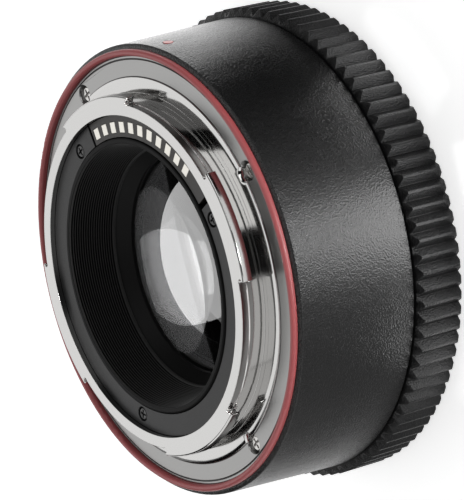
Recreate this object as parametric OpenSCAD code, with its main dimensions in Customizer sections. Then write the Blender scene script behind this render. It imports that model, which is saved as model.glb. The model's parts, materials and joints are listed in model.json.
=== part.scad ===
// Camera teleconverter standing on its lens-side cap, with the camera-side bayonet on top.
// Millimetres. The optical axis is +Z and the origin is the centre of the cap's flat outer face.

/* [Rear bayonet] */
// Inner radius of the bayonet tube
throat_r = 25.1; // [24:0.1:26.5]
// Wall of the bayonet tube at its end face
tube_wall = 1.8; // [1.5:0.1:2.2]
// How far the neck stands out past the lip ring
neck_step = 0.1; // [0.05:0.05:0.3]
// Width of the relief turned round the foot of the neck
relief_w = 0.9; // [0.6:0.1:1.2]
// Depth of that relief
relief_depth = 0.15; // [0.1:0.05:0.3]
// Thickness of the lip ring along the axis
lip_t = 1.2; // [0.9:0.1:1.5]
// How far each lug stands out from the lip ring
lug_depth = 1.3; // [0.9:0.1:1.6]
// Thickness of a lug along the axis
lug_t = 1.6; // [1.3:0.1:2]
// Start angle of each of the four lugs
lug_starts = [-9, 71.5, 168, 259.5]; // [-20:0.5:340]
// Angle covered by each of the four lugs
lug_spans = [35, 42, 42.5, 45]; // [30:0.5:50]
// Height of the tube above the flange face
bayonet_height = 4.4; // [4:0.1:5]
// Radial step from the lugs out to the register
register_step = 2.05; // [1.6:0.05:2.4]
// Height of the cylindrical register
register_h = 0.2; // [0.15:0.05:0.4]
// Height of the boss inside the register
boss_h = 0.5; // [0.4:0.05:0.8]
// Width of the chamfer round the boss
boss_chamfer = 0.95; // [0.5:0.05:1.1]
// Radial width of the flange face
flange_width = 3.2; // [3:0.05:3.8]
// Thickness of the flange
flange_t = 2.2; // [1.8:0.1:2.8]
// Angles of the flange screws
flange_screw_angles = [20.9, 108, 200, 294.8]; // [0:0.1:360]
// Depth of the flange screws' heads below the flange face
flange_recess = 0.5; // [0.3:0.05:0.7]

/* [Seal and barrel] */
// Width of the seal's rounded bead
seal_w = 1.05; // [0.9:0.05:1.4]
// Height of the straight part of the bead above the barrel rim
bead_h = 0.3; // [0.1:0.05:0.4]
// Barrel rim that shows outside the seal
rim_w = 0.75; // [0.5:0.05:1]
// Height of the rim's chamfer
rim_chamfer = 0.4; // [0.2:0.05:0.6]
// Gain in barrel radius from the rear rim to the cap end
flare = 0.8; // [0.4:0.1:1.4]
// Length of the barrel
barrel_length = 20.5; // [18:0.1:24]
// Wall of the barrel at the cap end
barrel_wall = 2.4; // [2:0.1:3]
// Depth of the flange face below the barrel rim
flange_set = 0.1; // [0:0.05:0.3]
// Thickness of the web that carries the rear mount
web_t = 3; // [2.5:0.1:4]
// Angle of the plain mounting dot
dot_angle = 70; // [40:1:100]
// Radius of the plain mounting dot
dot_r = 0.8; // [0.6:0.1:1.2]

/* [Contacts] */
// Number of contacts
contact_count = 11; // [8:1:12]
// Angle of the first contact
contact_start = 36.2; // [30:0.1:42]
// Angle between contacts
contact_pitch = 6.14; // [5.8:0.02:6.4]
// Radial width of the contact holder
holder_w = 3.45; // [3.2:0.05:4]
// Depth of the contact holder below the tube's end face
contact_recess = 0.9; // [0.6:0.1:1.2]
// Pad width round the ring
pad_w = 1.35; // [1:0.05:1.6]
// Pad length along the radius
pad_l = 1.7; // [1.4:0.1:2]
// Angles of the contact holder screws
holder_screw_angles = [14, 113.7, 243.7]; // [0:0.1:360]
// Travel of the lens-side contact pins
pin_travel = 0.7; // [0.5:0.1:0.9]

/* [Optics] */
// Gap between the contact holder and the baffle's raised rim
shadow_gap = 0.12; // [0.1:0.02:0.4]
// Width of the baffle's raised rim
hood_wall = 0.95; // [0.8:0.05:1.3]
// Loss of radius down the grooved baffle
well_taper = 1.5; // [1.2:0.1:2]
// Number of light-trapping grooves
groove_count = 18; // [12:1:20]
// Depth of a light-trapping groove
groove_depth = 0.3; // [0.2:0.02:0.36]
// Radial width of the cone round the rear lens
cone_w = 1.6; // [1.4:0.1:2]
// Radius of curvature of the rear lens
rear_curve = 40; // [36:1:60]
// Edge thickness of the rear lens
rear_lens_t = 3; // [2.4:0.1:3.6]
// Edge thickness of the middle lens
middle_lens_t = 3.4; // [3.2:0.1:4]
// Edge thickness of the inner lens
inner_lens_t = 2; // [1.6:0.1:2.6]
// Edge thickness of the front lens
front_lens_t = 1.8; // [1.4:0.1:2.4]
// Radius of the front lens
front_lens_r = 15; // [14:0.1:16]

/* [Front mount] */
// How far the mount face stands out of the barrel
face_rise = 0.8; // [0.5:0.1:1.2]
// Thickness of a bayonet tab
tab_t = 1.6; // [1.3:0.1:2]
// Height of the channel behind the tabs
channel_h = 1.9; // [1.7:0.1:2.4]
// Angle covered by each of the four tabs
tab_span = 44; // [40:1:46]
// Thickness of the ring that carries the front mount
frame_t = 2.3; // [2:0.1:3]
// Radius of the lens lock pin
lock_pin_r = 1.1; // [0.8:0.1:1.3]
// How far the lock pin stands out of the mount face
lock_reach = 1.6; // [1.2:0.1:1.8]

/* [Front cap] */
// Height of the cap
cap_height = 8.1; // [7.6:0.1:9]
// Thickness of the cap's flat end
cap_floor = 1.5; // [1.2:0.1:2]
// Number of grip ribs
rib_count = 96; // [72:4:120]
// Depth of a grip rib
rib_depth = 1.1; // [0.8:0.1:1.4]
// Length of the bevel at the barrel end of the ribs
rib_bevel = 0.65; // [0.4:0.05:1]
// Height of the chamfer round the flat end
cap_chamfer = 0.5; // [0.3:0.05:0.8]

/* [Hidden] */
$fn = 96;
// Clearances: seated pieces, sliding pins, and pieces that move past each other
fit = 0.05;
slide_gap = 0.06;
run_gap = 0.35;
seam = 0.1;

// Radii of the camera-side mount, from the tube outwards to the grip ribs
lip_r = throat_r + tube_wall;
neck_r = lip_r + neck_step;
lug_r = lip_r + lug_depth;
lug_draft = 0.12;
relief_edge = 0.12;
register_r = lug_r + register_step;
flange_r = register_r + flange_width;
seal_in_r = flange_r + fit;
seal_out_r = seal_in_r + seal_w;
seal_mid_r = (seal_in_r + seal_out_r) / 2;
dot_drop = 3.4;
seal_foot_r = seal_out_r - 0.45;
barrel_rear_r = seal_out_r + rim_w;
barrel_front_r = barrel_rear_r + flare;
valley_r = barrel_front_r + 0.3;
ridge_r = valley_r + rib_depth;
flange_screw_r = register_r + 0.95;
hole_flare = 0.16;
lock_slot_r = flange_screw_r + 0.25;
web_in_r = register_r - 1.2;

// Radii of the contact holder and baffle, from the tube inwards to the rear lens
lens_seat = 1.2;
shoulder_in = 0.7;
holder_out_r = throat_r - fit;
holder_in_r = holder_out_r - holder_w;
contact_r = (holder_in_r + holder_out_r) / 2 - 0.2;
hood_out_r = holder_in_r - shadow_gap;
hood_in_r = hood_out_r - hood_wall;
well_r = hood_in_r - well_taper;
clear_r = well_r - cone_w;
lens_r = clear_r + lens_seat;
shoulder_r = hood_out_r + shoulder_in;
rear_ring_r = max(lens_r + lens_seat, well_r + 0.6);
cell_r = rear_ring_r + 1.6;
front_ring_r = front_lens_r + 1.4;
nose_r = front_ring_r + 1.8;

// Radii of the lens-side mount and cap
bore_r = barrel_front_r - barrel_wall;
bore_step = 0.5;
chamber_r = bore_r - bore_step;
mount_out_r = bore_r - 0.3;
plug_r = lip_r - run_gap;
plug_wall = 1.65;
lug_ease = 2;
tab_r = plug_r + 0.4;
pass_r = lug_r + 0.3;
channel_r = lug_r + 0.6;
lock_r = (channel_r + mount_out_r) / 2;
cap_wall_r = mount_out_r + run_gap;
seat_in_r = channel_r + 0.1;
seat_out_r = lock_r - lock_pin_r - run_gap;
cell_flange_r = chamber_r - 0.2;
block_half_w = 1.2;

// Heights, from the cap's flat end upwards
barrel_z0 = cap_height + seam;
barrel_z1 = barrel_z0 + barrel_length;
flange_z = barrel_z1 - flange_set;
boss_z = flange_z + boss_h;
relief_z = boss_z - relief_depth;
relief_r = neck_r + relief_w;
mount_top = flange_z + bayonet_height;
web_top = flange_z - flange_t;
web_bottom = web_top - web_t;
baffle_flange_t = 0.8;
holder_z = flange_z + baffle_flange_t;
holder_top = mount_top - contact_recess;
hood_top = holder_top + 0.25;
hood_round = 0.25;
groove_land = 0.1;
well_lip = 0.25;
well_lip_h = 0.4;
well_bottom = web_top - 1.65;
cell_top = well_bottom - 0.2;
cell_flange_t = 1.6;
cell_flange_z = web_bottom - cell_flange_t;
front_face = barrel_z0 - face_rise;
tab_top = front_face + tab_t;
channel_top = tab_top + channel_h;
plate_t = 0.3;
plate_top = channel_top + plate_t;
frame_top = plate_top + frame_t;
board_z = frame_top + 1.9;
board_t = 1;
board_top = board_z + board_t;

// Lens stack, from the nose upwards and from the rear seat downwards
nose_z = cap_floor + 1.8;
front_lens_z = nose_z + 1.1;
front_stop_z = front_lens_z + front_lens_t;
stop_t = 1;
inner_lens_z = front_stop_z + stop_t + 2.2;
inner_lens_top = inner_lens_z + inner_lens_t;
rear_seat = cell_top - 2.4;
spacer_l = (rear_seat - rear_lens_t - middle_lens_t - inner_lens_top) / 2;
middle_lens_z = inner_lens_top + spacer_l;
rear_lens_z = rear_seat - rear_lens_t;
lens_bore_r = lens_r + fit;
spacer_wall = 1.6;
middle_curve = 110;
inner_curve = 80;
nose_top = inner_lens_z - 0.8;

// Screws
flange_screw = [1.3, 0.65, 0.75, 3.4];
holder_screw = [1.05, 0.55, 0.5, 4.2];
frame_screw = [1.2, 0.7, 0.7, 4.4];
board_screw = [1, 0.6, 0.5, 2.4];
cell_screw = [1.2, 0.7, 0.7, 2.6];
front_screw_angles = [45, 135, 225, 315];
cell_screw_angles = [50, 150, 255];
board_post_angles = [-40, 140, 225];
board_post_r = (chamber_r + channel_r) / 2;
cell_screw_r = (web_in_r + cell_flange_r) / 2;
screw_recess = 0.1;

// Contacts and the flexible circuit
strip_start = contact_start - 13.7;
strip_end = contact_start + (contact_count - 1) * contact_pitch + 3.4;
strip_gap = 1.3;
strip_notch = 2.4;
contact_mid = contact_start + (contact_count - 1) * contact_pitch / 2;
ribbon_w = 7;
ribbon_t = 0.3;
pad_t = 0.5;
pad_proud = 0.04;
pin_tip = front_face + bayonet_height - contact_recess - pin_travel;
pin_r = 0.5;
collar_r = 0.75;
tail_r = 0.35;
block_z = pin_tip + 1;
block_floor = 0.5;
chamber_z = block_z + block_floor;
collar_z = chamber_z + 0.1;
collar_top = collar_z + 0.4;
chamber_top = board_z - 0.8;
block_margin = 5;
block_start = contact_start - block_margin;
block_span = (contact_count - 1) * contact_pitch + 2 * block_margin;
ear_t = 1;
ear_r = block_half_w + contact_r + 3.4;
ear_span = 6;
ear_screw_in = 1.4;

// Lens lock, on the side away from the contacts
lock_angle = 180;
slider_travel = lock_reach + 0.2;
carriage_z = frame_top + seam;
carriage_h = 2;
carriage_top = carriage_z + carriage_h;
carriage_half = 2.6;
arm_half = 1.5;
knob_r = barrel_front_r + 0.2;
knob_t = 1;
knob_half = 4.6;
knob_below = 2.6;
knob_h = 7.2;
guide_r = 0.7;
guide_l = 2.6;
lock_spring_r = 1.2;
lock_wire_r = 0.2;

// Turns a flat outline into a ring round the optical axis
module turned(points) rotate_extrude() polygon(points);

// Ring with straight walls
module ring(r_in, r_out, z0, z1) turned([[r_in, z0], [r_out, z0], [r_out, z1], [r_in, z1]]);

// Part of a ring that covers an angle
module arc_block(r_in, r_out, z0, z1, start, span)
    rotate([0, 0, start])
        rotate_extrude(angle = span)
            polygon([[r_in, z0], [r_out, z0], [r_out, z1], [r_in, z1]]);

// Places a shape at a radius, an angle and a height
module at(r, angle, z) rotate([0, 0, angle]) translate([r, 0, z]) children();

// Cross-head screw with its head's top at the origin; size is head radius, head height, shank radius and length
module cross_screw(size) {
    slot_l = size[0] * 1.3;
    slot_w = size[0] * 0.28;
    slot_d = size[1] * 0.6;
    difference() {
        turned([[0, -size[1]], [size[0], -size[1]], [size[0], -size[1] * 0.4], [size[0] * 0.8, 0], [0, 0]]);
        for (turn = [0, 90])
            rotate([0, 0, turn])
                translate([-slot_l / 2, -slot_w / 2, -slot_d])
                    cube([slot_l, slot_w, slot_d + 1]);
    }
    translate([0, 0, -size[1] - size[3]])
        cylinder(r = size[2], h = size[3] + 0.01);
}

// Hole for a screw's shank and head, with the face that the head sinks into at the origin and a flare at its mouth
module screw_hole(size, sink, flare = 0) {
    translate([0, 0, -sink])
        cylinder(r = size[0] + 0.12, h = sink + 1);
    translate([0, 0, -sink - size[3] - 0.2])
        cylinder(r = size[2] + fit, h = size[3] + 0.3);
    if (flare > 0)
        translate([0, 0, -3 * flare])
            cylinder(r1 = size[0] + 0.12 - flare / 2, r2 = size[0] + 0.62 + flare, h = 1 + 3 * flare);
}

// Spherical cap of a lens surface that rises from z, with its rim radius and curvature
module lens_cap(rim, curve, z) {
    depth = sqrt(curve * curve - rim * rim);
    translate([0, 0, z])
        intersection() {
            translate([0, 0, -depth]) sphere(r = curve, $fn = 288);
            cylinder(r = rim + 1, h = curve);
        }
}

// One unbroken coil of wire between two heights, in triangles
module coil(mean_r, wire_r, z0, z1, turns) {
    sides = 6;
    steps = 8;
    rings = steps * turns;
    pitch = (z1 - z0 - 2 * wire_r) / turns;
    points = [for (i = [0 : rings]) for (j = [0 : sides - 1])
        let (turn = 360 * i / steps, around = 360 * j / sides, r = mean_r + wire_r * cos(around))
        [r * cos(turn), r * sin(turn), z0 + wire_r + pitch * i / steps + wire_r * sin(around)]];
    last = rings * sides;
    walls = [for (i = [0 : rings - 1]) for (j = [0 : sides - 1])
        let (k = (j + 1) % sides, a = i * sides, b = a + sides)
        each [[a + j, a + k, b + k], [a + j, b + k, b + j]]];
    ends = [for (j = [1 : sides - 2]) each [[0, j + 1, j], [last, last + j, last + j + 1]]];
    polyhedron(points, concat(walls, ends));
}

// Slot for the flexible circuit between two heights
module ribbon_slot(z0, z1)
    at(contact_r, contact_mid, z0)
        translate([-0.5, -ribbon_w / 2 - 0.5, 0])
            cube([1, ribbon_w + 1, z1 - z0]);

// Barrel, seal and camera-side mount

module barrel_shell() color([0.09, 0.09, 0.09]) difference() {
    turned([[bore_r, barrel_z0], [barrel_front_r - 0.2, barrel_z0], [barrel_front_r, barrel_z0 + 0.2],
        [barrel_rear_r, barrel_z1 - rim_chamfer], [seal_out_r + fit, barrel_z1], [seal_foot_r + fit, barrel_z1],
        [seal_foot_r + fit, web_top], [web_in_r, web_top], [web_in_r, web_bottom],
        [chamber_r, web_bottom], [chamber_r, frame_top], [bore_r, frame_top]]);
    for (angle = flange_screw_angles)
        at(flange_screw_r, angle, flange_z)
            screw_hole(flange_screw, flange_screw[1] + flange_recess, hole_flare);
    for (angle = cell_screw_angles)
        at(cell_screw_r, angle, cell_flange_z)
            mirror([0, 0, 1])
                screw_hole(cell_screw, 0);
    rotate([0, 0, lock_angle])
        translate([chamber_r - 2, -arm_half - 0.3, carriage_z - 0.3])
            cube([barrel_wall + 4, 2 * arm_half + 0.6, carriage_h + slider_travel + 0.6]);
    at(barrel_rear_r - 0.5, dot_angle, barrel_z1 - dot_drop)
        rotate([0, 90, 0])
            cylinder(r = dot_r + fit, h = 5);
}

module index_dot() color([0.75, 0.12, 0.1])
    at(barrel_rear_r - 0.45, dot_angle, barrel_z1 - dot_drop)
        rotate([0, 90, 0])
            cylinder(r = dot_r, h = 0.6);

module seal_ring() color([0.65, 0.25, 0.25]) {
    ring(seal_in_r, seal_foot_r, web_top, barrel_z1 + 0.02);
    ring(seal_in_r, seal_out_r, barrel_z1, barrel_z1 + bead_h);
    rotate_extrude()
        intersection() {
            translate([seal_mid_r, barrel_z1 + bead_h]) circle(r = seal_w / 2);
            translate([seal_in_r, barrel_z1 + bead_h]) square([seal_w, seal_w]);
        }
}

module rear_mount() color([0.8, 0.8, 0.82]) difference() {
    union() {
        turned([[shoulder_r, web_top], [flange_r, web_top], [flange_r, flange_z], [register_r, flange_z],
            [register_r, flange_z + register_h], [register_r - boss_chamfer, boss_z],
            [relief_r + relief_edge, boss_z], [relief_r, boss_z - relief_edge], [relief_r, relief_z],
            [neck_r, relief_z], [neck_r, mount_top - lip_t - neck_step], [lip_r, mount_top - lip_t],
            [lip_r, mount_top], [throat_r, mount_top], [throat_r, flange_z], [shoulder_r, flange_z]]);
        for (i = [0 : len(lug_starts) - 1])
            rotate([0, 0, lug_starts[i]])
                rotate_extrude(angle = lug_spans[i])
                    polygon([[throat_r + 0.5, mount_top - lug_t], [lug_r, mount_top - lug_t],
                        [lug_r - lug_draft, mount_top - 0.2], [lug_r - lug_draft - 0.2, mount_top],
                        [throat_r + 0.5, mount_top]]);
    }
    for (i = [0 : len(lug_starts) - 1])
        for (angle = [lug_starts[i], lug_starts[i] + lug_spans[i]])
            at(lip_r + 0.35, angle, mount_top - lug_t - 0.1)
                cylinder(r = 0.42, h = lug_t + 0.2);
    for (angle = flange_screw_angles)
        at(flange_screw_r, angle, flange_z)
            screw_hole(flange_screw, flange_screw[1] + flange_recess, hole_flare);
    for (angle = holder_screw_angles)
        at(contact_r, angle, holder_top)
            screw_hole(holder_screw, holder_screw[1] + screw_recess);
    ring(flange_r - 0.55, flange_r - 0.35, flange_z - 0.15, flange_z + 0.1);
    at(lock_slot_r, lock_angle, flange_z - 1.2)
        translate([-0.95, -1.6, 0])
            cube([1.9, 3.2, 2]);
    ribbon_slot(web_top - 1, flange_z + 1);
}

module rear_mount_screws() color([0.7, 0.7, 0.72])
    for (angle = flange_screw_angles)
        at(flange_screw_r, angle, flange_z - flange_recess)
            cross_screw(flange_screw);

// Contacts on the camera side

module contact_holder() color([0.2, 0.2, 0.21]) difference() {
    ring(holder_in_r, holder_out_r, holder_z, holder_top);
    arc_block(holder_in_r - 1, holder_out_r + 1, holder_z - 1, holder_top + 1,
        strip_start - strip_notch, strip_end - strip_start + strip_notch + strip_gap);
    for (angle = holder_screw_angles)
        at(contact_r, angle, holder_top)
            screw_hole(holder_screw, holder_screw[1] + screw_recess);
}

module contact_strip() color([0.22, 0.21, 0.2]) difference() {
    arc_block(holder_in_r, holder_out_r, holder_z, holder_top, strip_start, strip_end - strip_start);
    for (i = [0 : contact_count - 1])
        at(contact_r, contact_start + i * contact_pitch, holder_top - pad_t)
            translate([-pad_l / 2 - fit, -pad_w / 2 - fit, 0])
                cube([pad_l + 2 * fit, pad_w + 2 * fit, pad_t + 1]);
}

module contact_pads() color([0.9, 0.88, 0.84])
    for (i = [0 : contact_count - 1])
        at(contact_r, contact_start + i * contact_pitch, holder_top - pad_t)
            translate([-pad_l / 2, -pad_w / 2, 0])
                cube([pad_l, pad_w, pad_t + pad_proud]);

module contact_holder_screws() color([0.08, 0.08, 0.08])
    for (angle = holder_screw_angles)
        at(contact_r, angle, holder_top - screw_recess)
            cross_screw(holder_screw);

module contact_ribbon() color([0.75, 0.45, 0.12])
    at(contact_r, contact_mid, board_top)
        translate([-ribbon_t / 2, -ribbon_w / 2, 0])
            cube([ribbon_t, ribbon_w, holder_z - board_top]);

// Baffle and optics

module rear_baffle() color([0.05, 0.05, 0.05]) {
    groove_top = hood_top - hood_round;
    groove_bottom = well_bottom + well_lip_h;
    groove_pitch = (groove_top - groove_bottom) / groove_count;
    slope = well_taper / (groove_top - groove_bottom);
    grooves = [for (i = [0 : groove_count - 1])
        let (z = groove_top - i * groove_pitch, r = well_r + slope * (z - groove_bottom))
        each [[r, z], [r, z - groove_land], [r + groove_depth, z - (groove_pitch + groove_land) / 2]]];
    difference() {
        turned(concat([[well_r - well_lip, well_bottom], [hood_out_r, well_bottom], [hood_out_r, flange_z],
            [holder_out_r, flange_z], [holder_out_r, holder_z], [hood_out_r, holder_z],
            [hood_out_r, hood_top - hood_round], [hood_out_r - 0.3 * hood_round, hood_top - 0.3 * hood_round],
            [hood_out_r - hood_round, hood_top], [hood_in_r + hood_round, hood_top],
            [hood_in_r + 0.3 * hood_round, hood_top - 0.3 * hood_round]],
            grooves, [[well_r, groove_bottom], [well_r - well_lip, groove_bottom]]));
        for (angle = holder_screw_angles)
            at(contact_r, angle, holder_top)
                screw_hole(holder_screw, holder_screw[1] + screw_recess);
        ribbon_slot(flange_z - 1, holder_z + 1);
    }
}

module rear_retaining_ring() color([0.06, 0.06, 0.06])
    turned([[clear_r, rear_seat], [rear_ring_r, rear_seat], [rear_ring_r, cell_top], [well_r, cell_top],
        [clear_r, rear_seat + 0.5]]);

module rear_lens() color([0.8, 0.85, 0.9, 0.5]) {
    translate([0, 0, rear_lens_z]) cylinder(r = lens_r, h = rear_lens_t);
    lens_cap(clear_r - 0.1, rear_curve, rear_seat);
}

module rear_spacer() color([0.07, 0.07, 0.07])
    ring(lens_r - spacer_wall, lens_r, middle_lens_z + middle_lens_t, rear_lens_z);

module middle_lens() color([0.8, 0.85, 0.9, 0.5]) difference() {
    translate([0, 0, middle_lens_z]) cylinder(r = lens_r, h = middle_lens_t);
    lens_cap(lens_r - spacer_wall, middle_curve, middle_lens_z);
    translate([0, 0, middle_lens_z + middle_lens_t])
        mirror([0, 0, 1])
            lens_cap(lens_r - spacer_wall, middle_curve, 0);
}

module front_spacer() color([0.07, 0.07, 0.07])
    ring(lens_r - spacer_wall, lens_r, inner_lens_top, middle_lens_z);

module inner_lens() color([0.8, 0.85, 0.9, 0.5]) {
    translate([0, 0, inner_lens_z]) cylinder(r = lens_r, h = inner_lens_t);
    lens_cap(lens_r - spacer_wall - 0.2, inner_curve, inner_lens_top);
    translate([0, 0, inner_lens_z])
        mirror([0, 0, 1])
            lens_cap(lens_r - spacer_wall - 0.2, inner_curve, 0);
}

module front_lens() color([0.8, 0.85, 0.9, 0.5]) {
    translate([0, 0, front_lens_z]) cylinder(r = front_lens_r, h = front_lens_t);
    translate([0, 0, front_lens_z])
        mirror([0, 0, 1])
            lens_cap(front_lens_r - 1.5, inner_curve, 0);
}

module front_retaining_ring() color([0.06, 0.06, 0.06]) difference() {
    ring(front_lens_r - 1.4, front_ring_r, nose_z, front_lens_z);
    for (turn = [0, 180])
        rotate([0, 0, turn])
            translate([front_lens_r - 0.4, -0.6, nose_z - 1])
                cube([3, 1.2, 1.6]);
}

module lens_cell() color([0.1, 0.1, 0.1]) difference() {
    turned([[front_ring_r + fit, nose_z], [nose_r, nose_z], [nose_r, nose_top], [cell_r, nose_top],
        [cell_r, cell_flange_z], [cell_flange_r, cell_flange_z], [cell_flange_r, web_bottom],
        [cell_r, web_bottom], [cell_r, cell_top], [rear_ring_r + fit, cell_top], [rear_ring_r + fit, rear_seat],
        [lens_bore_r, rear_seat], [lens_bore_r, inner_lens_z], [lens_r - spacer_wall, inner_lens_z],
        [lens_r - spacer_wall, front_stop_z + stop_t], [front_lens_r - 1.2, front_stop_z + stop_t],
        [front_lens_r - 1.2, front_stop_z], [front_lens_r + fit, front_stop_z],
        [front_lens_r + fit, front_lens_z], [front_ring_r + fit, front_lens_z]]);
    ribbon_slot(cell_flange_z - 1, web_bottom + 1);
    for (angle = cell_screw_angles)
        at(cell_screw_r, angle, cell_flange_z)
            mirror([0, 0, 1])
                screw_hole(cell_screw, 0);
}

module cell_screws() color([0.3, 0.3, 0.3])
    for (angle = cell_screw_angles)
        at(cell_screw_r, angle, cell_flange_z - cell_screw[1])
            mirror([0, 0, 1])
                cross_screw(cell_screw);

// Electronics

module circuit_board() color([0.05, 0.3, 0.15]) difference() {
    ring(cell_r + 0.8, chamber_r - 0.5, board_z, board_top);
    rotate([0, 0, lock_angle])
        translate([0, -carriage_half - 3, board_z - 1])
            cube([barrel_front_r, 2 * carriage_half + 6, board_t + 2]);
    for (angle = board_post_angles)
        at(board_post_r, angle, board_top)
            screw_hole(board_screw, 0);
}

module board_chips() color([0.06, 0.06, 0.07])
    for (chip = [[-75, 5, 5, 1.1], [-110, 3, 4, 0.8], [10, 4, 4, 0.9], [25, 2, 2.5, 0.7], [120, 3, 5, 1]])
        at((cell_r + chamber_r) / 2, chip[0], board_top)
            translate([-chip[1] / 2, -chip[2] / 2, 0])
                cube([chip[1], chip[2], chip[3]]);

module board_screws() color([0.7, 0.7, 0.72])
    for (angle = board_post_angles)
        at(board_post_r, angle, board_top + board_screw[1])
            cross_screw(board_screw);

// Lens-side mount

module front_frame() color([0.12, 0.12, 0.12]) difference() {
    union() {
        ring(contact_r + block_half_w + 0.8, bore_r - fit, plate_top, frame_top);
        for (angle = board_post_angles)
            at(board_post_r, angle, frame_top - 0.1)
                cylinder(r = 1.5, h = board_z - frame_top + 0.1);
    }
    for (angle = board_post_angles)
        at(board_post_r, angle, board_top)
            screw_hole(board_screw, 0);
    for (angle = front_screw_angles)
        at(lock_r, angle, front_face)
            mirror([0, 0, 1])
                screw_hole(frame_screw, frame_screw[1] + screw_recess);
    at(lock_r, lock_angle, plate_top - 1)
        cylinder(r = lock_pin_r + slide_gap, h = frame_t + 2);
    for (angle = [block_start + ear_span / 2, block_start + block_span - ear_span / 2])
        at(ear_r - ear_screw_in, angle, frame_top + ear_t)
            screw_hole(board_screw, 0);
}

module front_mount() color([0.8, 0.8, 0.82]) difference() {
    turned([[tab_r, front_face], [mount_out_r - 0.3, front_face], [mount_out_r, front_face + 0.3],
        [mount_out_r, barrel_z0], [bore_r - fit, barrel_z0], [bore_r - fit, channel_top],
        [channel_r, channel_top], [channel_r, tab_top], [tab_r, tab_top]]);
    for (i = [0 : 3])
        arc_block(tab_r - 1, pass_r, front_face - 1, tab_top + channel_h / 2, 90 * i + tab_span / 2, 90 - tab_span);
    for (angle = front_screw_angles)
        at(lock_r, angle, front_face)
            mirror([0, 0, 1])
                screw_hole(frame_screw, frame_screw[1] + screw_recess);
    at(lock_r, lock_angle, front_face - 1)
        cylinder(r = lock_pin_r + slide_gap, h = channel_top - front_face + 2);
}

module front_mount_screws() color([0.7, 0.7, 0.72])
    for (angle = front_screw_angles)
        at(lock_r, angle, front_face + screw_recess)
            mirror([0, 0, 1])
                cross_screw(frame_screw);

module mount_spring_plate() color([0.6, 0.6, 0.62]) difference() {
    ring(tab_r + 0.2, bore_r - 0.5, channel_top, plate_top);
    for (i = [0 : 3])
        arc_block(channel_r - 0.1, channel_r + 0.5, channel_top - 1, plate_top + 1, 90 * i - 20, 40);
    for (i = [0 : 3])
        arc_block(tab_r - 1, channel_r + 0.2, channel_top - 1, plate_top + 1, 90 * i + 18.2, 1.4);
    for (angle = front_screw_angles)
        at(lock_r, angle, front_face)
            mirror([0, 0, 1])
                screw_hole(frame_screw, frame_screw[1] + screw_recess);
    at(lock_r, lock_angle, channel_top - 1)
        cylinder(r = lock_pin_r + slide_gap, h = plate_t + 2);
}

module contact_block() color([0.15, 0.15, 0.16]) difference() {
    union() {
        arc_block(contact_r - block_half_w, contact_r + block_half_w, block_z, board_z, block_start, block_span);
        for (start = [block_start, block_start + block_span - ear_span])
            arc_block(contact_r, ear_r, frame_top, frame_top + ear_t, start, ear_span);
    }
    for (i = [0 : contact_count - 1])
        at(contact_r, contact_start + i * contact_pitch, 0) {
            translate([0, 0, block_z - 1]) cylinder(r = pin_r + slide_gap, h = block_floor + 2);
            translate([0, 0, chamber_z]) cylinder(r = collar_r + 0.2, h = chamber_top - chamber_z);
        }
    for (angle = [block_start + ear_span / 2, block_start + block_span - ear_span / 2])
        at(ear_r - ear_screw_in, angle, frame_top + ear_t)
            screw_hole(board_screw, 0);
}

module contact_block_screws() color([0.7, 0.7, 0.72])
    for (angle = [block_start + ear_span / 2, block_start + block_span - ear_span / 2])
        at(ear_r - ear_screw_in, angle, frame_top + ear_t + board_screw[1])
            cross_screw(board_screw);

module contact_pins() color([0.85, 0.7, 0.35])
    for (i = [0 : contact_count - 1])
        at(contact_r, contact_start + i * contact_pitch, 0)
            turned([[0, pin_tip], [pin_r * 0.6, pin_tip], [pin_r, pin_tip + 0.2], [pin_r, collar_z],
                [collar_r, collar_z], [collar_r, collar_top], [tail_r, collar_top],
                [tail_r, chamber_top - pin_travel - 0.4], [0, chamber_top - pin_travel - 0.4]]);

module contact_springs() color([0.7, 0.7, 0.72])
    for (i = [0 : contact_count - 1])
        at(contact_r, contact_start + i * contact_pitch, 0)
            coil(0.64, 0.1, collar_top + 0.03, chamber_top - 0.03, 3);

// Lens lock

module release_slider() color([0.1, 0.1, 0.1]) rotate([0, 0, lock_angle]) difference() {
    union() {
        translate([lock_r - 2.2, -carriage_half, carriage_z])
            cube([chamber_r - lock_r + 2.2 - 0.6, 2 * carriage_half, carriage_h]);
        translate([lock_r, -arm_half, carriage_z])
            cube([knob_r - lock_r + 0.3, 2 * arm_half, carriage_h]);
        intersection() {
            ring(knob_r, knob_r + knob_t, carriage_z - knob_below, carriage_z - knob_below + knob_h);
            translate([0, -knob_half, carriage_z - knob_below])
                cube([2 * knob_r, 2 * knob_half, knob_h]);
        }
    }
    translate([lock_r, 0, carriage_z - 1])
        cylinder(r = lock_pin_r + fit, h = carriage_h + 2);
    for (step = [0 : 3])
        ring(knob_r + knob_t - 0.3, knob_r + knob_t + 1,
            carriage_z - knob_below + 1 + 1.5 * step, carriage_z - knob_below + 1.6 + 1.5 * step);
}

module lock_pin() color([0.75, 0.75, 0.77])
    at(lock_r, lock_angle, 0)
        turned([[0, front_face - lock_reach], [lock_pin_r - 0.3, front_face - lock_reach],
            [lock_pin_r, front_face - lock_reach + 0.3], [lock_pin_r, carriage_top], [guide_r, carriage_top],
            [guide_r, carriage_top + guide_l], [0, carriage_top + guide_l]]);

module lock_spring() color([0.7, 0.7, 0.72])
    at(lock_r, lock_angle, 0)
        coil(lock_spring_r, lock_wire_r, carriage_top + 0.05, cell_flange_z - 0.05, 5);

// Lens-side cap with its grip ribs

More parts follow.
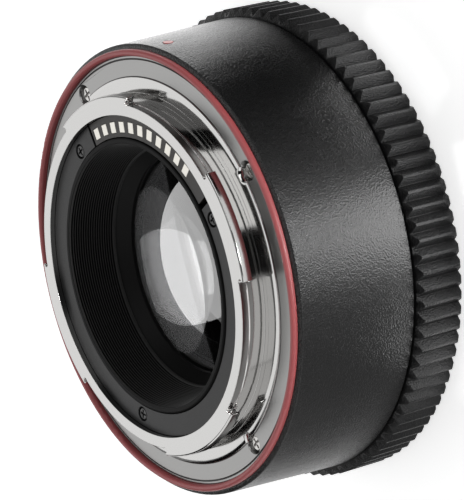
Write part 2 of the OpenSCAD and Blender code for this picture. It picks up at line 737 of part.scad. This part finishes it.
module front_cap() color([0.1, 0.1, 0.1]) {
    rib_angle = 360 / rib_count;
    crest = 0.08;
    outline = [for (i = [0 : rib_count - 1])
        each [ridge_r * [cos((i - crest) * rib_angle), sin((i - crest) * rib_angle)],
            ridge_r * [cos((i + crest) * rib_angle), sin((i + crest) * rib_angle)],
            valley_r * [cos((i + 0.5) * rib_angle), sin((i + 0.5) * rib_angle)]]];
    difference() {
        intersection() {
            linear_extrude(cap_height) polygon(outline);
            turned([[0, 0], [ridge_r - cap_chamfer, 0], [ridge_r, cap_chamfer], [ridge_r, cap_height - rib_bevel],
                [valley_r - 0.1, cap_height], [0, cap_height]]);
        }
        translate([0, 0, cap_floor]) cylinder(r = cap_wall_r, h = cap_height);
    }
    ring(seat_in_r, seat_out_r, cap_floor - 0.1, front_face - seam);
    ring(plug_r - plug_wall, plug_r, cap_floor - 0.1, channel_top - 0.3);
    for (i = [0 : 3])
        arc_block(plug_r - plug_wall / 2, lug_r, tab_top + 0.2, channel_top - 0.3,
            90 * i - tab_span / 2 + lug_ease, tab_span - 2 * lug_ease);
}

barrel_shell();
index_dot();
seal_ring();
rear_mount();
rear_mount_screws();
contact_holder();
contact_strip();
contact_pads();
contact_holder_screws();
contact_ribbon();
rear_baffle();
rear_retaining_ring();
rear_lens();
rear_spacer();
middle_lens();
front_spacer();
inner_lens();
front_lens();
front_retaining_ring();
lens_cell();
cell_screws();
circuit_board();
board_chips();
board_screws();
front_frame();
front_mount();
front_mount_screws();
mount_spring_plate();
contact_block();
contact_block_screws();
contact_pins();
contact_springs();
release_slider();
lock_pin();
lock_spring();
front_cap();
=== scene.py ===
"""Looks of a camera teleconverter standing on its lens-side cap, seen as a studio photograph shows it."""
import json
import math

import bpy
from mathutils import Matrix, Vector

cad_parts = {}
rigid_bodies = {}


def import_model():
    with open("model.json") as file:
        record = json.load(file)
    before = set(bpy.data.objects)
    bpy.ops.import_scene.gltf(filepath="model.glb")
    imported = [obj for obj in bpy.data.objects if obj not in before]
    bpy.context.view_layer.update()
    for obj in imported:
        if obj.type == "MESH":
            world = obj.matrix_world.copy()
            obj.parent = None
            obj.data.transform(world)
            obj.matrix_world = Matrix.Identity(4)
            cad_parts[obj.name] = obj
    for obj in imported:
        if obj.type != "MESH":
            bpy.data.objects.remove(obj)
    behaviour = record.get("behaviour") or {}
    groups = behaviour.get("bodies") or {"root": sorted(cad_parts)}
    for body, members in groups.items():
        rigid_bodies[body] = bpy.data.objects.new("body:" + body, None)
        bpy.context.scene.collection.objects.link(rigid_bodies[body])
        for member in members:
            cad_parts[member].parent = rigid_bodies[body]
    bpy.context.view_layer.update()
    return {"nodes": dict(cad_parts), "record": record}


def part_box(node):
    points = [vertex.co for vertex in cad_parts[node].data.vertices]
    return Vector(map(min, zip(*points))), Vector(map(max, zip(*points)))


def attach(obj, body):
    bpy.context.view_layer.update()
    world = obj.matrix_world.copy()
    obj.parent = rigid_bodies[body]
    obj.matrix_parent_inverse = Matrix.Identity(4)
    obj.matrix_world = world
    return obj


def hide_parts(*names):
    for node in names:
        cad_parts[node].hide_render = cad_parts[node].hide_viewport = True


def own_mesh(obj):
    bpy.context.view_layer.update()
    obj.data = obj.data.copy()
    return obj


bpy.ops.object.select_all(action='SELECT')
bpy.ops.object.delete()
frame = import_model()
nodes = frame["nodes"]
MM = 0.001

# Light: what the floor shows, the even light of the room, lamps and reflection cards, in metres and degrees
FLOOR_GLOW = 0.62
ROOM_LIGHT = 0.3
WHITE = (1.0, 1.0, 1.0, 1.0)
UNLIT = (0.0, 0.0, 0.0)
DARK_FELT = (0.004, 0.004, 0.004)
# name, azimuth, elevation, distance, width, height, radiance
SOFTBOXES = (
    ("back softbox", 172, 52, 0.6, 0.52, 0.9, 1.05),
    ("front strip", -1, 4, 0.35, 0.06, 0.05, 70.0),
)
# name, azimuth, distance, height, width, depth, tilt, colour, glow
REFLECTORS = (
    ("low_bright_card", -3, 0.068, 0.0002, 0.02, 0.056, 0, UNLIT, 7.5),
    ("upper_rib_card", 33, 0.0418, 0.0003, 0.02, 0.0076, 0, UNLIT, 4.5),
    ("lower_rib_card", -33, 0.0418, 0.0003, 0.02, 0.0076, 0, UNLIT, 4.2),
    ("low_back_card", 116, 0.08, 0.0004, 0.064, 0.07, 0, UNLIT, 2.4),
    ("low_dark_card", 58, 0.101, 0.0002, 0.095, 0.118, 0, DARK_FELT, 0.0),
    ("low_grey_card", -62, 0.101, 0.0002, 0.125, 0.118, 0, UNLIT, 0.36),
    ("right_light_card", -48, 0.5, 0.22, 0.56, 0.5, 90, UNLIT, 1.5),
    ("far_light_card", -110, 0.5, 0.22, 0.62, 0.5, 90, UNLIT, 1.3),
    ("left_dark_card", 54, 0.5, 0.3, 0.8, 0.6, 90, DARK_FELT, 0.0),
    ("upper_light_card", 42, 0.44, 0.3, 0.48, 0.2, 90, UNLIT, 2.4),
    ("front_dark_card", 2, 0.55, 0.3, 0.36, 0.6, 90, DARK_FELT, 0.0),
    ("back_dark_card", 216, 0.5, 0.25, 0.26, 0.5, 90, DARK_FELT, 0.0),
)


# Shader groups

def new_group(name, inputs, outputs):
    """Starts a shader node group with named number sockets and returns it with its two end nodes."""
    group = bpy.data.node_groups.new(name, 'ShaderNodeTree')
    for socket, value in inputs.items():
        made = group.interface.new_socket(socket, in_out='INPUT', socket_type='NodeSocketFloat')
        made.default_value = value
    for socket in outputs:
        group.interface.new_socket(socket, in_out='OUTPUT', socket_type='NodeSocketFloat')
    return group, group.nodes.new('NodeGroupInput'), group.nodes.new('NodeGroupOutput')


def math_node(tree, operation, first, second=None):
    """Adds a math node whose inputs are sockets or numbers and returns its output."""
    node = tree.nodes.new('ShaderNodeMath')
    node.operation = operation
    for slot, value in enumerate((first, second)):
        if value is None:
            continue
        if isinstance(value, (int, float)):
            node.inputs[slot].default_value = value
        else:
            tree.links.new(value, node.inputs[slot])
    return node.outputs[0]


def within_one(tree, value):
    """Holds a value between 0 and 1."""
    return math_node(tree, 'MINIMUM', math_node(tree, 'MAXIMUM', value, 0.0), 1.0)


def place_about_axis(tree):
    """Distance of a surface point from the optical axis, and its height along it."""
    place = tree.nodes.new('ShaderNodeTexCoord')
    split = tree.nodes.new('ShaderNodeSeparateXYZ')
    tree.links.new(place.outputs['Object'], split.inputs[0])
    across, along, height = split.outputs
    square = math_node(tree, 'ADD', math_node(tree, 'MULTIPLY', across, across),
                       math_node(tree, 'MULTIPLY', along, along))
    return math_node(tree, 'SQRT', square), height


# Grain: how far the pebbles melt together, the size of the broad swell against them, and its height
PEBBLE_SMOOTHNESS = 0.35
SWELL_FINENESS = 0.35
SWELL_HEIGHT = 0.05


def make_grain_group():
    """Pebbled grain: a height for a bump and a mask that follows it."""
    group, start, end = new_group("pebbled grain", {"Scale": 1500.0, "Fineness": SWELL_FINENESS},
                                  ("Height", "Mask"))
    place = group.nodes.new('ShaderNodeTexCoord')
    pebbles = group.nodes.new('ShaderNodeTexVoronoi')
    pebbles.feature = 'SMOOTH_F1'
    pebbles.inputs['Smoothness'].default_value = PEBBLE_SMOOTHNESS
    pebbles.inputs['Randomness'].default_value = 1.0
    waves = group.nodes.new('ShaderNodeTexNoise')
    waves.inputs['Detail'].default_value = 2.0
    group.links.new(place.outputs['Object'], pebbles.inputs['Vector'])
    group.links.new(place.outputs['Object'], waves.inputs['Vector'])
    group.links.new(start.outputs['Scale'], pebbles.inputs['Scale'])
    broader = math_node(group, 'MULTIPLY', start.outputs['Scale'], start.outputs['Fineness'])
    group.links.new(broader, waves.inputs['Scale'])
    domes = math_node(group, 'SUBTRACT', 1.0, pebbles.outputs['Distance'])
    swell = math_node(group, 'MULTIPLY', waves.outputs['Fac'], SWELL_HEIGHT)
    group.links.new(math_node(group, 'ADD', domes, swell), end.inputs['Height'])
    group.links.new(pebbles.outputs['Distance'], end.inputs['Mask'])
    return group


def make_band_group():
    """Mask of the stretch between two radii about the optical axis."""
    group, start, end = new_group("ring band", {"Inner": 0.03, "Outer": 0.033, "Soft": 0.0001}, ("Mask",))
    radius, _ = place_about_axis(group)
    past_inner = math_node(group, 'SUBTRACT', radius, start.outputs['Inner'])
    before_outer = math_node(group, 'SUBTRACT', start.outputs['Outer'], radius)
    rise = math_node(group, 'DIVIDE', past_inner, start.outputs['Soft'])
    fall = math_node(group, 'DIVIDE', before_outer, start.outputs['Soft'])
    group.links.new(within_one(group, math_node(group, 'MINIMUM', rise, fall)), end.inputs['Mask'])
    return group


def make_turning_group():
    """Fine rings left by turning: a height that changes with the radius and along the axis."""
    group, start, end = new_group("turning marks", {"Rings": 9000.0}, ("Height",))
    radius, height = place_about_axis(group)
    join = group.nodes.new('ShaderNodeCombineXYZ')
    group.links.new(math_node(group, 'MULTIPLY', radius, start.outputs['Rings']), join.inputs[0])
    group.links.new(math_node(group, 'MULTIPLY', height, start.outputs['Rings']), join.inputs[1])
    noise = group.nodes.new('ShaderNodeTexNoise')
    noise.inputs['Scale'].default_value = 1.0
    noise.inputs['Detail'].default_value = 2.0
    group.links.new(join.outputs[0], noise.inputs['Vector'])
    group.links.new(noise.outputs['Fac'], end.inputs['Height'])
    return group


def make_cone_group():
    """Depth outside a cone about the optical axis, as a mask that is 1 at a set depth."""
    group, start, end = new_group(
        "depth in cone wall", {"Radius": 0.019, "Height": 0.025, "Slope": 0.2, "Depth": 0.0003}, ("Mask",))
    radius, height = place_about_axis(group)
    rise = math_node(group, 'SUBTRACT', height, start.outputs['Height'])
    widening = math_node(group, 'MULTIPLY', rise, start.outputs['Slope'])
    wall = math_node(group, 'ADD', start.outputs['Radius'], widening)
    share = math_node(group, 'DIVIDE', math_node(group, 'SUBTRACT', radius, wall), start.outputs['Depth'])
    group.links.new(within_one(group, share), end.inputs['Mask'])
    return group


GRAIN = make_grain_group()
CONE = make_cone_group()
BAND = make_band_group()
TURNING = make_turning_group()


# Materials

def finish_of(name, colour, roughness, metallic=0.0, **sockets):
    """Starts a material with a plain Principled shader and returns the material, its tree and the shader."""
    material = bpy.data.materials.new(name)
    material.use_nodes = True
    tree = material.node_tree
    shader = tree.nodes['Principled BSDF']
    shader.inputs['Base Color'].default_value = (*colour, 1.0)
    shader.inputs['Roughness'].default_value = roughness
    shader.inputs['Metallic'].default_value = metallic
    for socket, value in sockets.items():
        shader.inputs[socket.replace("_", " ")].default_value = value
    return material, tree, shader


def place_group(tree, group, **values):
    """Adds a shader group to a material with its own values."""
    node = tree.nodes.new('ShaderNodeGroup')
    node.node_tree = group
    for socket, value in values.items():
        node.inputs[socket].default_value = value
    return node


def add_bump(tree, shader, height, strength, relief):
    """Feeds a height through a bump into the shader's normal."""
    bump = tree.nodes.new('ShaderNodeBump')
    bump.inputs['Strength'].default_value = strength
    bump.inputs['Distance'].default_value = relief
    tree.links.new(height, bump.inputs['Height'])
    tree.links.new(bump.outputs['Normal'], shader.inputs['Normal'])


def vary(tree, shader, mask, socket, low, high):
    """Lets a mask move one of the shader's numbers between two values."""
    spread = tree.nodes.new('ShaderNodeMapRange')
    spread.inputs['To Min'].default_value = low
    spread.inputs['To Max'].default_value = high
    tree.links.new(mask, spread.inputs['Value'])
    tree.links.new(spread.outputs['Result'], shader.inputs[socket])


def lay_over(tree, shader, mask, colour):
    """Lays a colour over what feeds the base colour, where a mask says."""
    mix = tree.nodes.new('ShaderNodeMix')
    mix.data_type = 'RGBA'
    fed = shader.inputs['Base Color']
    if fed.is_linked:
        tree.links.new(fed.links[0].from_socket, mix.inputs['A'])
    else:
        mix.inputs['A'].default_value = fed.default_value
    mix.inputs['B'].default_value = (*colour, 1.0)
    tree.links.new(mask, mix.inputs['Factor'])
    tree.links.new(mix.outputs['Result'], fed)


# Relief of the crinkled, middling and fine surfaces, in metres, and how far their roughness moves
CRINKLE_RELIEF = 0.1 * MM
MIDDLE_RELIEF = 0.03 * MM
FINE_RELIEF = 0.02 * MM
GRAIN_SPREAD = 0.1
TURNING_SPREAD = 0.04
TURNING_STRENGTH = 0.1
RINGS_PER_METRE = 9000.0


def grained(name, colour, roughness, scale, strength, relief=FINE_RELIEF, **sockets):
    """A finish with pebbled grain, so many pebbles to the metre."""
    material, tree, shader = finish_of(name, colour, roughness, **sockets)
    grain = place_group(tree, GRAIN, Scale=scale)
    add_bump(tree, shader, grain.outputs['Height'], strength, relief)
    mask = grain.outputs['Mask']
    vary(tree, shader, mask, 'Roughness', roughness - GRAIN_SPREAD, roughness + GRAIN_SPREAD)
    return material


def turned(name, colour, roughness, metallic=1.0, **sockets):
    """A turned finish with faint rings."""
    material, tree, shader = finish_of(name, colour, roughness, metallic, **sockets)
    marks = place_group(tree, TURNING, Rings=RINGS_PER_METRE)
    height = marks.outputs['Height']
    add_bump(tree, shader, height, TURNING_STRENGTH, FINE_RELIEF)
    vary(tree, shader, height, 'Roughness', roughness - TURNING_SPREAD, roughness + TURNING_SPREAD)
    return material


def glass(name, colour, ior, specular, **sockets):
    """Clear polished glass."""
    material, _, _ = finish_of(name, colour, 0.0, Transmission_Weight=1.0, IOR=ior,
                               Specular_IOR_Level=specular, **sockets)
    return material


barrel_paint = grained("barrel crinkle paint", (0.006, 0.006, 0.0062), 0.3, 3900.0, 0.62, CRINKLE_RELIEF,
                       Specular_IOR_Level=0.42)
cap_plastic = grained("cap moulded plastic", (0.007, 0.007, 0.0073), 0.36, 3900.0, 0.8, CRINKLE_RELIEF,
                      Specular_IOR_Level=0.2)
seal_rubber = grained("seal satin rubber", (0.4, 0.077, 0.082), 0.42, 6000.0, 0.12)
holder_plastic = grained("contact holder plastic", (0.011, 0.011, 0.0115), 0.4, 6000.0, 0.1,
                         Specular_IOR_Level=0.3)
strip_plastic = grained("contact strip plastic", (0.026, 0.023, 0.02), 0.4, 6000.0, 0.1,
                        Specular_IOR_Level=0.3)
ribbon_film = grained("ribbon amber film", (0.45, 0.22, 0.04), 0.35, 1200.0, 0.05)
board_mask = grained("board solder mask", (0.015, 0.12, 0.05), 0.4, 900.0, 0.08, MIDDLE_RELIEF)
chip_resin = grained("chip moulded resin", (0.02, 0.02, 0.022), 0.55, 4000.0, 0.1)
dot_enamel = grained("dot red enamel", (0.5, 0.03, 0.025), 0.35, 3000.0, 0.05)

screw_bright = turned("screw bright steel", (0.5, 0.49, 0.475), 0.18)
screw_black = turned("screw blackened steel", (0.012, 0.012, 0.012), 0.35, metallic=0.0)
pad_plating = turned("contact pad plating", (0.68, 0.66, 0.61), 0.4)
frame_anodised = turned("frame dark anodised", (0.08, 0.08, 0.082), 0.4)
spring_steel = turned("spring steel", (0.6, 0.6, 0.61), 0.28)
pin_gilt = turned("pin gilt", (0.8, 0.56, 0.2), 0.25)
cone_black = turned("cone deep black", (0.002, 0.002, 0.002), 0.5, metallic=0.0, Specular_IOR_Level=0.15)
cell_black = turned("cell flat black", (0.006, 0.006, 0.006), 0.55, metallic=0.0, Specular_IOR_Level=0.3)

SMOKED = (0.05, 0.05, 0.056)
rear_glass = glass("rear lens coated glass", (0.93, 0.93, 0.94), 2.0, 1.0,
                   Coat_Weight=1.0, Coat_IOR=2.1, Coat_Roughness=0.02)
middle_glass = glass("middle lens coated glass", SMOKED, 1.5, 0.5,
                     Coat_Weight=1.0, Coat_IOR=2.6, Coat_Roughness=0.02)
inner_glass = glass("inner lens smoked glass", SMOKED, 1.5, 0.25)

# Wall of the grooved funnel: radius and height at its foot, slope, and the depth where the painted shade in
# a groove is full
FUNNEL_R = 19.03 * MM
FUNNEL_Z = 25.15 * MM
FUNNEL_SLOPE = 0.2158
PAINTED_SHADE_DEPTH = 0.1 * MM


def funnel(name, crest, groove_painted_shade, roughness, specular):
    """Flat black with painted shade in the groove hollows, so that the crests look lighter than the hollows
    between them.
    """
    material, tree, shader = finish_of(name, crest, roughness, Specular_IOR_Level=specular)
    depth = place_group(tree, CONE, Radius=FUNNEL_R, Height=FUNNEL_Z, Slope=FUNNEL_SLOPE, Depth=PAINTED_SHADE_DEPTH)
    # Painted shade: the darker colour is laid into the grooves by their depth in the wall.
    lay_over(tree, shader, depth.outputs['Mask'], groove_painted_shade)
    return material


# The second colour is painted shade in the groove hollows.
baffle_black = funnel("baffle flat black", (0.055, 0.055, 0.055), (0.0008, 0.0008, 0.0008), 0.55, 0.12)

# Radii of the flange face, its turned groove and the foot of the boss, where the painted shade lines lie,
# worked out from the frame
MOUNT_DIMS = {mount["name"]: mount["dims"] for mount in frame["record"]["mounts"]}
FLANGE_IN = MOUNT_DIMS["rear_register"]["r_mm"] * MM
FLANGE_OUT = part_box("rear_mount")[1][0] + 0.1 * MM
GROOVE_IN = FLANGE_OUT - 0.67 * MM
GROOVE_OUT = FLANGE_OUT - 0.43 * MM
FOOT_IN = FLANGE_IN - 0.01 * MM
FOOT_OUT = FLANGE_IN + 0.14 * MM
FACE_SOFTNESS = 0.05 * MM
SHADE_LINE_SOFTNESS = 0.04 * MM
PLATING_STRENGTH = 0.012


def plated(name, colour, face_colour, painted_shade_colour, polished, satin):
    """Turned plating: polished tube and boss, satin flange, with painted shade in its groove and at the
    boss's foot.
    """
    material, tree, shader = finish_of(name, colour, satin, 1.0)
    marks = place_group(tree, TURNING, Rings=RINGS_PER_METRE)
    add_bump(tree, shader, marks.outputs['Height'], PLATING_STRENGTH, FINE_RELIEF)
    face = place_group(tree, BAND, Inner=FLANGE_IN, Outer=FLANGE_OUT, Soft=FACE_SOFTNESS)
    vary(tree, shader, face.outputs['Mask'], 'Roughness', polished, satin)
    lay_over(tree, shader, face.outputs['Mask'], face_colour)
    # Painted shade: dark bands laid on the base colour in the turned groove and at the boss's foot.
    for inner, outer in ((GROOVE_IN, GROOVE_OUT), (FOOT_IN, FOOT_OUT)):
        line = place_group(tree, BAND, Inner=inner, Outer=outer, Soft=SHADE_LINE_SOFTNESS)
        lay_over(tree, shader, line.outputs['Mask'], painted_shade_colour)
    return material


# The third colour is painted shade for the flange groove and the boss's foot.
plated_satin = plated("mount satin plating", (0.47, 0.466, 0.459), (0.275, 0.273, 0.269),
                      (0.035, 0.035, 0.035), 0.1, 0.28)

FINISHES = {
    "barrel_shell": barrel_paint, "index_dot": dot_enamel, "seal_ring": seal_rubber,
    "rear_mount": plated_satin, "rear_mount_screws": screw_bright, "contact_holder": holder_plastic,
    "contact_strip": strip_plastic, "contact_pads": pad_plating, "contact_holder_screws": screw_black,
    "contact_ribbon": ribbon_film, "rear_baffle": baffle_black, "rear_retaining_ring": cone_black,
    "rear_lens": rear_glass, "rear_spacer": cone_black, "middle_lens": middle_glass,
    "front_spacer": cell_black, "inner_lens": inner_glass, "front_lens": inner_glass,
    "front_retaining_ring": cell_black, "lens_cell": cell_black, "cell_screws": screw_black,
    "circuit_board": board_mask, "board_chips": chip_resin, "board_screws": screw_bright,
    "front_frame": frame_anodised, "front_mount": plated_satin, "front_mount_screws": screw_bright,
    "mount_spring_plate": spring_steel, "contact_block": holder_plastic,
    "contact_block_screws": screw_bright, "contact_pins": pin_gilt, "contact_springs": spring_steel,
    "release_slider": cap_plastic, "lock_pin": screw_bright, "lock_spring": spring_steel,
    "front_cap": cap_plastic,
}
for name, material in FINISHES.items():
    nodes[name].data.materials.clear()
    nodes[name].data.materials.append(material)


# Pieces with small edge rounding, over the solids they stand for

MERGE_GAP = 0.002 * MM
# Planes through the axis that part the flat rings into sectors, so that no face closes over a bore
SECTOR_CUTS = [math.radians(angle) for angle in (1.3, 46.3, 91.3, 136.3)]
FLAT_ANGLE = math.radians(0.6)
SHARP_ANGLE = math.radians(35)
SMOOTH_ANGLE = math.radians(60)
COIL_SMOOTH_ANGLE = math.radians(70)
FLAT_WEIGHT = 90
# node, body, slot, width of the rounding in millimetres
ROUNDED_PIECES = (
    ("rear_mount", "converter", "mount_plate", 0.07),
    ("rear_mount_screws", "converter", "screw_steel", 0.05),
    ("contact_holder", "converter", "holder_plastic", 0.08),
    ("contact_strip", "converter", "holder_plastic", 0.05),
    ("contact_pads", "converter", "pad_metal", 0.06),
    ("contact_holder_screws", "converter", "black_screw", 0.04),
    ("barrel_shell", "converter", "barrel_paint", 0.08),
    ("release_slider", "lens_lock", "slider_plastic", 0.12),
    ("front_cap", "cap", "cap_plastic", 0.08),
)


def merged_copy(node, name):
    """A copy of a solid's mesh with its loose corners merged, selected alone and left in edit mode."""
    piece = bpy.data.objects.new(name, nodes[node].data.copy())
    bpy.context.scene.collection.objects.link(piece)
    bpy.ops.object.select_all(action='DESELECT')
    piece.select_set(True)
    bpy.context.view_layer.objects.active = piece
    bpy.ops.object.mode_set(mode='EDIT')
    bpy.ops.mesh.select_all(action='SELECT')
    bpy.ops.mesh.remove_doubles(threshold=MERGE_GAP)
    return piece


def rounded(node, body, width):
    """A copy of a solid with its sharp edges rounded, which shows in the solid's place."""
    piece = merged_copy(node, node + "_rounded")
    for cut in SECTOR_CUTS:
        bpy.ops.mesh.select_all(action='SELECT')
        bpy.ops.mesh.bisect(plane_co=(0, 0, 0), plane_no=(math.sin(cut), math.cos(cut), 0))
        bpy.ops.mesh.mark_seam(clear=False)
    bpy.ops.mesh.select_all(action='SELECT')
    bpy.ops.mesh.dissolve_limited(angle_limit=FLAT_ANGLE, delimit={'SEAM'})
    bpy.ops.object.mode_set(mode='OBJECT')
    edges = piece.modifiers.new("edge rounding", 'BEVEL')
    edges.width = width
    edges.segments = 2
    edges.limit_method = 'ANGLE'
    edges.angle_limit = SHARP_ANGLE
    edges.use_clamp_overlap = False
    bpy.ops.object.modifier_apply(modifier=edges.name)
    bpy.ops.object.shade_smooth_by_angle(angle=SMOOTH_ANGLE)
    flats = piece.modifiers.new("flat faces", 'WEIGHTED_NORMAL')
    flats.weight = FLAT_WEIGHT
    flats.keep_sharp = True
    bpy.ops.object.modifier_apply(modifier=flats.name)
    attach(piece, body)
    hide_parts(node)


for node, body, slot, width in ROUNDED_PIECES:
    rounded(node, body, width * MM)


# Springs, shown as smooth copies of their coils

def sprung(node):
    """A smooth-shaded copy of a node's coils, with a mesh of its own, that shows in the node's place."""
    piece = merged_copy(node, node + "_coils")
    bpy.ops.object.mode_set(mode='OBJECT')
    bpy.ops.object.shade_smooth_by_angle(angle=COIL_SMOOTH_ANGLE)
    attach(piece, "converter")
    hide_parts(node)
    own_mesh(piece)


for joint in frame["record"]["behaviour"]["joints"]:
    for spring in joint.get("deforming_nodes", ()):
        sprung(spring["node"])


# Camera, at the photograph's viewing angle: angle off the axis, distance, height looked at and turns

VIEW_ANGLE = math.radians(58.16)
VIEW_DISTANCE = 450.48 * MM
SEAL_HEIGHT = 28.8 * MM
TURN_X, TURN_Y, TURN_Z = 0.02506939, -0.00136551, -1.8166793
FOCAL_LENGTH = 211.66
SENSOR_WIDTH = 36.0
NEAREST, FARTHEST = 0.01, 20.0

station = Vector((VIEW_DISTANCE * math.sin(VIEW_ANGLE), 0.0, VIEW_DISTANCE * math.cos(VIEW_ANGLE)))
ahead = -station.normalized()
right = ahead.cross(Vector((0, 0, 1))).normalized()
above = right.cross(ahead)
look = Matrix((right, -above, ahead))
turn = Matrix.Rotation(TURN_Z, 3, 'Z') @ Matrix.Rotation(TURN_Y, 3, 'Y') @ Matrix.Rotation(TURN_X, 3, 'X')
rows = turn @ look
axes = Matrix((rows[0], -rows[1], -rows[2])).transposed()
lens = bpy.data.cameras.new("photo camera")
lens.lens = FOCAL_LENGTH
lens.sensor_width = SENSOR_WIDTH
lens.clip_start = NEAREST
lens.clip_end = FARTHEST
camera = bpy.data.objects.new("photo camera", lens)
bpy.context.scene.collection.objects.link(camera)
camera.matrix_world = Matrix.Translation(station + Vector((0, 0, SEAL_HEIGHT))) @ axes.to_4x4()
bpy.context.scene.camera = camera


# Floor, room, cards and lamps

FLOOR_SIZE = 6.0
FLOOR_DROP = 0.05 * MM
FLOOR_CARD = (0.86, 0.86, 0.86)
CARD_ROUGHNESS = 0.9


def show_white(tree, strength):
    """Strength that only rays seen directly, in a reflection or through glass take up."""
    paths = tree.nodes.new('ShaderNodeLightPath')
    seen = math_node(tree, 'MAXIMUM', paths.outputs['Is Camera Ray'], paths.outputs['Is Glossy Ray'])
    seen = math_node(tree, 'MAXIMUM', seen, paths.outputs['Is Transmission Ray'])
    return math_node(tree, 'MULTIPLY', seen, strength)


bpy.ops.object.select_all(action='DESELECT')
bpy.ops.mesh.primitive_plane_add(size=FLOOR_SIZE, location=(0, 0, -FLOOR_DROP))
floor = bpy.context.object
floor.name = "studio_floor"
floor_white, floor_tree, floor_shader = finish_of("floor pale card", FLOOR_CARD, CARD_ROUGHNESS)
floor_shader.inputs['Emission Color'].default_value = WHITE
floor_tree.links.new(show_white(floor_tree, FLOOR_GLOW), floor_shader.inputs['Emission Strength'])
floor.data.materials.append(floor_white)

world = bpy.data.worlds.new("studio")
bpy.context.scene.world = world
world.use_nodes = True
room = world.node_tree.nodes['Background']
room.inputs['Color'].default_value = WHITE
room.inputs['Strength'].default_value = ROOM_LIGHT


def reflector(name, azimuth, distance, height, width, depth, tilt, colour, glow):
    """A card beside the object that only reflections show, dark or glowing, turned to the optical axis."""
    a = math.radians(azimuth)
    bpy.ops.object.select_all(action='DESELECT')
    bpy.ops.mesh.primitive_plane_add(size=1.0)
    card = bpy.context.object
    card.name = name
    place = Vector((distance * math.cos(a), distance * math.sin(a), height))
    facing = Matrix.Rotation(a, 4, 'Z') @ Matrix.Rotation(math.radians(-tilt), 4, 'Y')
    card.matrix_world = Matrix.Translation(place) @ facing @ Matrix.Diagonal((depth, width, 1.0, 1.0))
    material, _, card_shader = finish_of(name + " face", colour, CARD_ROUGHNESS, Specular_IOR_Level=0.0)
    card_shader.inputs['Emission Color'].default_value = WHITE
    card_shader.inputs['Emission Strength'].default_value = glow
    card.data.materials.append(material)
    card.visible_camera = False
    card.visible_diffuse = False
    card.visible_shadow = False
    card.visible_transmission = False


for card_values in REFLECTORS:
    reflector(*card_values)


def softbox(name, azimuth, elevation, distance, width, height, radiance):
    """A soft lamp in a direction from the object, as bright to look at as its radiance."""
    a, e = math.radians(azimuth), math.radians(elevation)
    way = Vector((math.cos(e) * math.cos(a), math.cos(e) * math.sin(a), math.sin(e)))
    lamp = bpy.data.lights.new(name, 'AREA')
    lamp.shape = 'RECTANGLE'
    lamp.size = width
    lamp.size_y = height
    lamp.energy = radiance * math.pi * width * height
    made = bpy.data.objects.new(name, lamp)
    made.matrix_world = Matrix.Translation(way * distance) @ way.to_track_quat('Z', 'Y').to_matrix().to_4x4()
    made.visible_camera = False
    bpy.context.scene.collection.objects.link(made)


for lamp_values in SOFTBOXES:
    softbox(*lamp_values)

bpy.context.scene.view_settings.view_transform = 'Standard'
